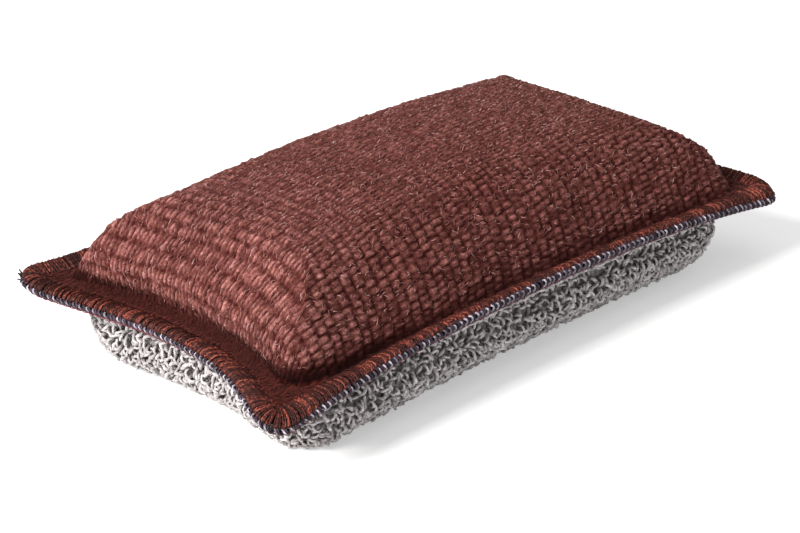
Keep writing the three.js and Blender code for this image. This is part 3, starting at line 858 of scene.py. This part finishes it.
# %% [markdown]
# ## The bead, and what lies under the margin
#
# The plum thread locks with the rust one at the cut edge, in a bead of one dark and one pale
# tooth to a stitch, and runs back under the margin. At the back ears short ends stick out.

# %% Teeth of the bead and the strands under the margin
BEAD_SECTION = np.array([[-0.3, 0.35], [-0.75, 0.15], [-0.95, -0.3], [-0.9, -0.75],
                         [-0.55, -1.15], [0.2, -1.3]])
SLIM_END = 0.62
SLIM_RUN = np.array([8, 18])
TAILS = 7


def bead_teeth(shift, reach, share=1.0):
    """Teeth that wrap the lower half of the cut edge, slanting by half a stitch.

    The bead is slimmer at the left end, where the seam was drawn tighter."""
    section = along_section(BEAD_SECTION, 8)
    start = (np.arange(stitches)[:, None] + shift + rng.normal(0, 0.09, (stitches, 1))) * pitch
    t = np.linspace(-0.5, 0.5, 8)
    luck = rng.normal(0, 0.08, (stitches, 1))
    slim = np.interp(edge_at(start)[..., 0], -HALF_LENGTH + SLIM_RUN, [SLIM_END, 1.0])
    inset = section[:, 0] - (reach + luck) * np.cos(np.pi * t)
    middle = section[:, 1].mean()
    height = middle + (section[:, 1] - middle) * slim * share * (1 + luck) + 0.5 * luck
    return seam_at(start + 0.6 * pitch * t, inset, height)


def under_strands():
    """Strands from the bead to the needle line under the margin, two to a stitch."""
    count = stitches * 2
    t = np.linspace(0, 1, 6)
    start = np.arange(count)[:, None] * pitch / 2
    way = np.where(np.arange(count) % 2 == 0, 1, -1)[:, None]
    height = -1.15 - 0.2 * np.sin(np.pi * t) + rng.normal(0, 0.06, (count, 1))
    return seam_at(start + way * pitch * 0.35 * t, BAND_WIDTH * t, height)


def tails():
    """Cut ends of thread at the two back ears, each a short curl outwards from the bead.

    A tail goes t mm outwards and up, and a sine of its own length and luck bends it along."""
    t = np.linspace(0, 1, 6)
    ears = [np.argmax(edge @ np.array([side, 1.0])) for side in (-1.0, 1.0)]
    start = np.repeat(edge_run[ears], TAILS)[:, None] + rng.uniform(-1.6, 1.6, (2 * TAILS, 1))
    length = rng.uniform(1.2, 2.6, (2 * TAILS, 1))
    inset = -0.5 - length * t * rng.uniform(0.3, 0.7, (2 * TAILS, 1))
    height = -0.2 + length * t * rng.uniform(-0.3, 0.9, (2 * TAILS, 1))
    return seam_at(start + rng.normal(0, 0.6, (2 * TAILS, 1)) * np.sin(2 * t), inset, height)


def hidden_line(inset, height):
    """A thread that lies right round the seam, waving a little from stitch to stitch."""
    s = np.arange(stitches * 3)[None] * pitch / 3
    wave = 0.1 * np.sin(2 * np.pi * s / pitch)
    return seam_at(s, inset + wave, height + 0.5 * wave)


lower_looper = seam_thread("lower_looper_teeth", bead_teeth(0.0, 0.0), 0.31, 6,
                           "lower_looper_thread")
pale_teeth = seam_thread("pale_teeth", bead_teeth(0.5, 0.2, 0.85), 0.22, 5, None)
lower_strands = seam_thread("lower_strands", under_strands(), 0.24, 5, None)
thread_tails = seam_thread("thread_tails", tails(), 0.16, 5, None)
crimson_line = seam_thread("crimson_line", hidden_line(-0.2, -1.45), 0.13, 5, None,
                           closed=True)

# %% [markdown]
# ## The needle thread
#
# The needle catches both cloths once a stitch. From above one sees a row of dashes.

# %% Needle stitches along the inner ends of the strands
def needle_dashes():
    """One stitch of the needle thread per pitch: a shallow arch along the seam."""
    t = np.linspace(0, 1, 6)
    start = np.arange(stitches)[:, None] * pitch
    height = 0.8 + 0.25 * np.sin(np.pi * t)
    return seam_at(start + t * pitch, BAND_WIDTH, height)


needle_stitches = seam_thread("needle_stitches", needle_dashes(), 0.2, 5,
                              "needle_thread")

# %% [markdown]
# ## Materials
#
# All the finishes are fibres, so they share two effects: a mottle that makes fibre tips paler
# and dirtier in places, and the twist lines of a thread. Each is a node group that puts out
# numbers only. The shader stays in each material, with its own sheen and roughness.

# %% Node groups shared by the fibres
def add_node(tree, kind, values=None, **settings):
    """New node of a kind, with settings by name and input values by socket."""
    node = tree.nodes.new(kind)
    for key, value in settings.items():
        setattr(node, key, value)
    for key, value in (values or {}).items():
        node.inputs[key].default_value = value
    return node


def plug(tree, value, socket):
    """Links a socket into another one, or sets it to a fixed number or colour."""
    if isinstance(value, bpy.types.NodeSocket):
        tree.links.new(value, socket)
    else:
        socket.default_value = value if isinstance(value, float) else (*value, 1)


def maths(tree, operation, *values):
    """Value of a Math node on sockets or fixed numbers."""
    node = add_node(tree, "ShaderNodeMath", operation=operation)
    for value, socket in zip(values, node.inputs):
        plug(tree, value, socket)
    return node.outputs["Value"]


def node_group(name, inputs, outputs):
    """Empty group with float inputs and outputs and its two end nodes."""
    tree = bpy.data.node_groups.new(name, "ShaderNodeTree")
    for socket, value in inputs.items():
        entry = tree.interface.new_socket(socket, in_out="INPUT", socket_type="NodeSocketFloat")
        entry.default_value = value
    for socket in outputs:
        tree.interface.new_socket(socket, in_out="OUTPUT", socket_type="NodeSocketFloat")
    return tree, tree.nodes.new("NodeGroupInput"), tree.nodes.new("NodeGroupOutput")


def fibre_group():
    """Noise on Object coordinates: Tips for pale fibres, Strokes along X, and Patches for dirt."""
    tree, start, end = node_group("fibres", {"Fine": 1500.0, "Long": 1400.0, "Coarse": 90.0},
                                  ["Tips", "Strokes", "Patches"])
    place = add_node(tree, "ShaderNodeTexCoord")
    drawn = add_node(tree, "ShaderNodeMapping", {"Scale": (0.28, 1.0, 1.0)})
    tree.links.new(place.outputs["Object"], drawn.inputs["Vector"])
    for scale, output, detail, vector in (("Fine", "Tips", 3.0, place.outputs["Object"]),
                                          ("Long", "Strokes", 2.0, drawn.outputs["Vector"]),
                                          ("Coarse", "Patches", 4.0, place.outputs["Object"])):
        noise = add_node(tree, "ShaderNodeTexNoise", {"Detail": detail, "Roughness": 0.65})
        tree.links.new(vector, noise.inputs["Vector"])
        tree.links.new(start.outputs[scale], noise.inputs["Scale"])
        spread = add_node(tree, "ShaderNodeMapRange", {"From Min": 0.32, "From Max": 0.68})
        tree.links.new(noise.outputs["Fac"], spread.inputs["Value"])
        tree.links.new(spread.outputs["Result"], end.inputs[output])
    return tree


def twist_group():
    """Lines that wind round a thread: a sine of turns round it plus turns along its length."""
    tree, start, end = node_group("twist", {"Round": 3.0, "Along": 1.2}, ["Lines"])
    uv = add_node(tree, "ShaderNodeUVMap", uv_map="cloth")
    parts = add_node(tree, "ShaderNodeSeparateXYZ")
    tree.links.new(uv.outputs["UV"], parts.inputs["Vector"])
    along = maths(tree, "MULTIPLY", parts.outputs["X"], start.outputs["Along"])
    turns = maths(tree, "MULTIPLY_ADD", parts.outputs["Y"], start.outputs["Round"], along)
    wave = maths(tree, "SINE", maths(tree, "MULTIPLY", turns, 2 * math.pi))
    lifted = add_node(tree, "ShaderNodeMapRange", {"From Min": -1.0, "From Max": 1.0})
    tree.links.new(wave, lifted.inputs["Value"])
    tree.links.new(lifted.outputs["Result"], end.inputs["Lines"])
    return tree


fibres = fibre_group()
twist = twist_group()


def new_material(name, roughness, sheen, sheen_tint, specular=0.1):
    """Material with a Principled shader whose constants are set on its own sockets."""
    material = bpy.data.materials.new(name)
    material.use_nodes = True
    tree = material.node_tree
    shader = tree.nodes["Principled BSDF"]
    shader.inputs["Roughness"].default_value = roughness
    shader.inputs["Sheen Weight"].default_value = sheen
    shader.inputs["Sheen Roughness"].default_value = 0.45
    shader.inputs["Sheen Tint"].default_value = sheen_tint
    shader.inputs["Specular IOR Level"].default_value = specular
    return material, tree, shader


def add_group(tree, group, values):
    """A shared group placed in a material with its own values."""
    return add_node(tree, "ShaderNodeGroup", values, node_tree=group)


def ramp(tree, source, stops):
    """Colour ramp on a value: a list of places, each with a colour or a number for a grey."""
    node = add_node(tree, "ShaderNodeValToRGB")
    elements = node.color_ramp.elements
    while len(elements) < len(stops):
        elements.new(0.5)
    for element, (place, colour) in zip(elements, stops):
        element.position = place
        element.color = (*np.broadcast_to(colour, 3), 1)
    tree.links.new(source, node.inputs["Fac"])
    return node.outputs["Color"]


def mixed(tree, kind, amount, first, second):
    """Mix of two colours by a kind and an amount, each a socket or a fixed colour."""
    node = add_node(tree, "ShaderNodeMix", data_type="RGBA", blend_type=kind)
    for value, number in ((amount, 0), (first, 6), (second, 7)):
        plug(tree, value, node.inputs[number])
    return node.outputs[2]


def multiplied(tree, *colours):
    """Product of colours, each multiplied onto the ones before it."""
    product = colours[0]
    for colour in colours[1:]:
        product = mixed(tree, "MULTIPLY", 1.0, product, colour)
    return product


def attribute(tree, name):
    """Value of a point attribute."""
    return add_node(tree, "ShaderNodeAttribute", attribute_name=name).outputs["Fac"]


def bumped(tree, shader, height, distance, strength):
    """A Bump node of a height into the shader's normal."""
    bump = add_node(tree, "ShaderNodeBump", {"Strength": strength, "Distance": distance})
    tree.links.new(height, bump.inputs["Height"])
    tree.links.new(bump.outputs["Normal"], shader.inputs["Normal"])


print("shared groups:", fibres.name, twist.name)

# %% [markdown]
# ## The colours of the knit
#
# The colour is a product: a base by the height on a knuckle, with painted shade between the knuckles
# and painted light on their tops, times fibre tips, strokes, dust, each knuckle's luck, painted shade
# in the crease at the margin, and painted light on the knuckle tops at the left end.

# %% Finish of the knit
def knit_material():
    """Dusty red-brown microfibre: painted shade between the knuckles and painted light on their tops,
    pale at the fibre tips.
    """
    material, tree, shader = new_material("knit microfibre", 0.95, 0.12, (0.9, 0.35, 0.3, 1), 0.05)
    noise = add_group(tree, fibres, {"Fine": 1500.0, "Long": 1500.0, "Coarse": 60.0})
    # base: painted shade between the knuckles and painted light on their tops, by knuckle height
    base = ramp(tree, attribute(tree, "knuckle"), [
        (0.05, (0.045, 0.008, 0.007)), (0.45, (0.085, 0.024, 0.020)), (0.9, (0.168, 0.058, 0.051))])
    tips = ramp(tree, noise.outputs["Tips"], [(0.1, (0.65, 0.55, 0.55)), (0.9, (1.38, 1.5, 1.5))])
    strokes = ramp(tree, noise.outputs["Strokes"], [(0.15, (0.7, 0.62, 0.6)), (0.85, (1.3, 1.4, 1.4))])
    dust = ramp(tree, noise.outputs["Patches"], [(0.0, 0.9), (1.0, (1.1, 1.08, 1.08))])
    own = ramp(tree, attribute(tree, "luck"), [(0.0, (0.87, 0.83, 0.83)), (1.0, (1.13, 1.15, 1.15))])
    # painted shade in the crease: the margin and the foot of the wall darkened, most of all at the left
    # end
    painted_crease_shade = ramp(tree, attribute(tree, "free"), [
        (0.0, (0.3, 0.12, 0.10)), (0.15, (0.09, 0.05, 0.045)), (0.55, (0.22, 0.14, 0.13)),
        (0.75, (0.55, 0.48, 0.48)), (0.98, 1.0)])
    # painted light: the knuckle tops at the left end made paler, up to about twice as bright
    painted_left_light = ramp(tree, attribute(tree, "painted_left_light"), [(0.0, 1.0), (0.95, (1.75, 2.0, 2.05))])
    colour = multiplied(tree, base, tips, strokes, dust, own, painted_crease_shade, painted_left_light)
    tree.links.new(colour, shader.inputs["Base Color"])
    bumped(tree, shader, noise.outputs["Tips"], 0.00035, 0.9)
    return material


def fibre_material():
    """Single fibres of the knit, from deep red to pale dusty pink by luck."""
    material, tree, shader = new_material("knit fibre", 0.7, 0.2, (1.0, 0.85, 0.8, 1))
    tree.links.new(ramp(tree, attribute(tree, "luck"), [
        (0.0, (0.08, 0.017, 0.014)), (0.4, (0.15, 0.04, 0.034)), (0.8, (0.3, 0.12, 0.108)),
        (1.0, (0.45, 0.25, 0.23))]), shader.inputs["Base Color"])
    return material


knit_top.data.materials.append(knit_material())
knit_fibres.data.materials.append(fibre_material())
print("knit finishes:", knit_top.data.materials[0].name, "and", knit_fibres.data.materials[0].name)

# %% [markdown]
# ## The colours of the pile and the foam
#
# The yarn is painted darker at a loop's feet and paler at its tip: painted shade and painted highlight.
# The ground and the foam are plain.

# %% Finish of the pile, its ground and the foam
def pile_material():
    """Grey bouclé yarn: painted highlight at the tips of the loops, painted shade at their feet."""
    material, tree, shader = new_material("grey pile yarn", 0.9, 0.3, (1, 1, 1, 1))
    noise = add_group(tree, fibres, {"Fine": 1600.0, "Coarse": 70.0})
    # base: painted shade at the loops' feet and painted highlight at their tips
    base = ramp(tree, attribute(tree, "tip_light"), [
        (0.3, (0.2, 0.184, 0.182)), (0.7, (0.37, 0.342, 0.34)), (1.0, (0.53, 0.495, 0.497))])
    tips = ramp(tree, noise.outputs["Tips"], [(0.0, 0.72), (1.0, 1.25)])
    own = ramp(tree, attribute(tree, "luck"), [(0.0, 0.72), (1.0, 1.2)])
    tree.links.new(multiplied(tree, base, tips, own), shader.inputs["Base Color"])
    bumped(tree, shader, noise.outputs["Tips"], 0.0002, 0.5)
    return material


def plain_cloth(name, dark, light, fine, roughness=0.95):
    """A dull cloth or foam between two colours by its fibre noise."""
    material, tree, shader = new_material(name, roughness, 0.0, (1, 1, 1, 1))
    noise = add_group(tree, fibres, {"Fine": fine, "Coarse": 50.0})
    tree.links.new(ramp(tree, noise.outputs["Tips"], [(0.2, dark), (0.8, light)]),
                   shader.inputs["Base Color"])
    bumped(tree, shader, noise.outputs["Tips"], 0.0004, 0.6)
    return material


for loops in pile_pieces:
    loops.data.materials.append(pile_material())
pile_ground.data.materials.append(plain_cloth(
    "pile ground", (0.14, 0.128, 0.127), (0.26, 0.24, 0.24), 1500.0))
foam = bpy.data.objects["foam_core"]
foam.data.materials.clear()
foam.data.materials.append(plain_cloth("open foam", (0.5, 0.44, 0.3), (0.78, 0.7, 0.52), 900.0, 1.0))
print("pile and foam finishes:", pile_ground.data.materials[0].name, "and", foam.data.materials[0].name)

# %% [markdown]
# ## The colours of the threads
#
# Each thread has three colours, from dark to light, and all of them have winding lines. On the rust
# thread the light colour is painted glints.

# %% Finish of the threads
def thread_material(name, dark, middle, light, roughness, sheen):
    """Polyester thread: colour from dark to light by luck and fibre noise, with winding lines."""
    material, tree, shader = new_material(name, roughness, sheen, (*light, 1), 0.2)
    noise = add_group(tree, fibres, {"Fine": 2200.0, "Coarse": 120.0})
    lines = add_group(tree, twist, {"Round": 2.0, "Along": 0.9})
    spread = mixed(tree, "MIX", 0.5, attribute(tree, "luck"), noise.outputs["Tips"])
    base = ramp(tree, spread, [(0.2, dark), (0.55, middle), (0.9, light)])
    shade = ramp(tree, lines.outputs["Lines"], [(0.0, 0.7), (1.0, 1.15)])
    tree.links.new(mixed(tree, "MULTIPLY", 1.0, base, shade), shader.inputs["Base Color"])
    bumped(tree, shader, lines.outputs["Lines"], 0.00015, 0.7)
    return material


THREAD_FINISHES = (
    # rust: dark and middle are the thread's own colour; the light colour is painted glints, speckled by
    # luck and noise
    (upper_looper, "rust thread", (0.02, 0.004, 0.003), (0.055, 0.011, 0.008),
     (0.36, 0.085, 0.055), 0.65, 0.0),
    (lower_looper, "plum thread", (0.015, 0.009, 0.015), (0.035, 0.02, 0.03),
     (0.08, 0.045, 0.07), 0.5, 0.1),
    (pale_teeth, "pale plum thread", (0.06, 0.045, 0.06), (0.24, 0.21, 0.25),
     (0.62, 0.58, 0.65), 0.45, 0.1),
    (lower_strands, "dull plum thread", (0.06, 0.03, 0.04), (0.13, 0.07, 0.09),
     (0.22, 0.14, 0.17), 0.6, 0.2),
    (crimson_line, "crimson thread", (0.05, 0.004, 0.008), (0.14, 0.01, 0.02),
     (0.28, 0.04, 0.055), 0.5, 0.1),
    (needle_stitches, "needle thread", (0.03, 0.006, 0.005), (0.07, 0.014, 0.012),
     (0.14, 0.03, 0.025), 0.55, 0.05))
for thread, *finish in THREAD_FINISHES:
    thread.data.materials.append(thread_material(*finish))
thread_tails.data.materials.append(lower_looper.data.materials[0])
print("thread finishes:", len(THREAD_FINISHES))

# %% [markdown]
# ## Floor and light
#
# The photograph is lit softly from the left: the left end is bright and the front and right are
# in half shade. A soft lamp to the left gives that, with a weak one low in front and another
# above. The floor glows for the rays that come from the camera or off a shiny surface, and not
# for the rays that carry light to the pad. So it looks white and still keeps the shadow.

# %% The floor, the lamps and the world
FLOOR_GLOW = 0.38
FLOOR_HALF = 1500.0
WORLD_LIGHT = 0.38


def make_floor():
    """A large flat sheet at z = 0."""
    corners = np.array([[-1, -1, 0], [1, -1, 0], [1, 1, 0], [-1, 1, 0]]) * FLOOR_HALF
    floor = make_mesh("floor", corners, [np.array([[0, 1, 2, 3]])])
    material, tree, shader = new_material("pale floor", 0.9, 0.0, (1, 1, 1, 1))
    noise = add_group(tree, fibres, {"Fine": 400.0, "Coarse": 4.0})
    tree.links.new(ramp(tree, noise.outputs["Patches"], [(0.0, 0.80), (1.0, 0.83)]),
                   shader.inputs["Base Color"])
    rays = add_node(tree, "ShaderNodeLightPath").outputs
    seen = maths(tree, "MAXIMUM", rays["Is Camera Ray"], rays["Is Glossy Ray"])
    seen = maths(tree, "MAXIMUM", seen, rays["Is Transmission Ray"])
    shader.inputs["Emission Color"].default_value = (1, 1, 1, 1)
    tree.links.new(maths(tree, "MULTIPLY", seen, FLOOR_GLOW), shader.inputs["Emission Strength"])
    floor.data.materials.append(material)


def make_lamp(name, azimuth, elevation, distance, size, watts, colour):
    """A square area lamp that points at the pad from an azimuth and an elevation in degrees."""
    data = bpy.data.lights.new(name, "AREA")
    data.size = size
    data.energy = watts
    data.color = colour
    lamp = bpy.data.objects.new(name, data)
    az = math.radians(azimuth)
    el = math.radians(elevation)
    way = Matrix.Rotation(az, 4, "Z") @ Matrix.Rotation(math.pi / 2 - el, 4, "X")
    lamp.matrix_world = way @ Matrix.Translation((0, 0, distance))
    bpy.context.scene.collection.objects.link(lamp)


make_floor()
make_lamp("key from the left", -95.0, 36.0, 1.2, 0.45, 26.0, (1.0, 0.99, 0.97))
make_lamp("low fill in front", -15.0, 7.0, 1.3, 0.9, 4.5, (1.0, 1.0, 1.0))
make_lamp("fill from above", 0.0, 80.0, 1.4, 1.2, 3.0, (1.0, 1.0, 1.0))
world = bpy.data.worlds.new("studio")
bpy.context.scene.world = world
world.use_nodes = True
background = world.node_tree.nodes["Background"]
background.inputs["Color"].default_value = (1, 1, 1, 1)
background.inputs["Strength"].default_value = WORLD_LIGHT
bpy.context.scene.view_settings.view_transform = "Standard"
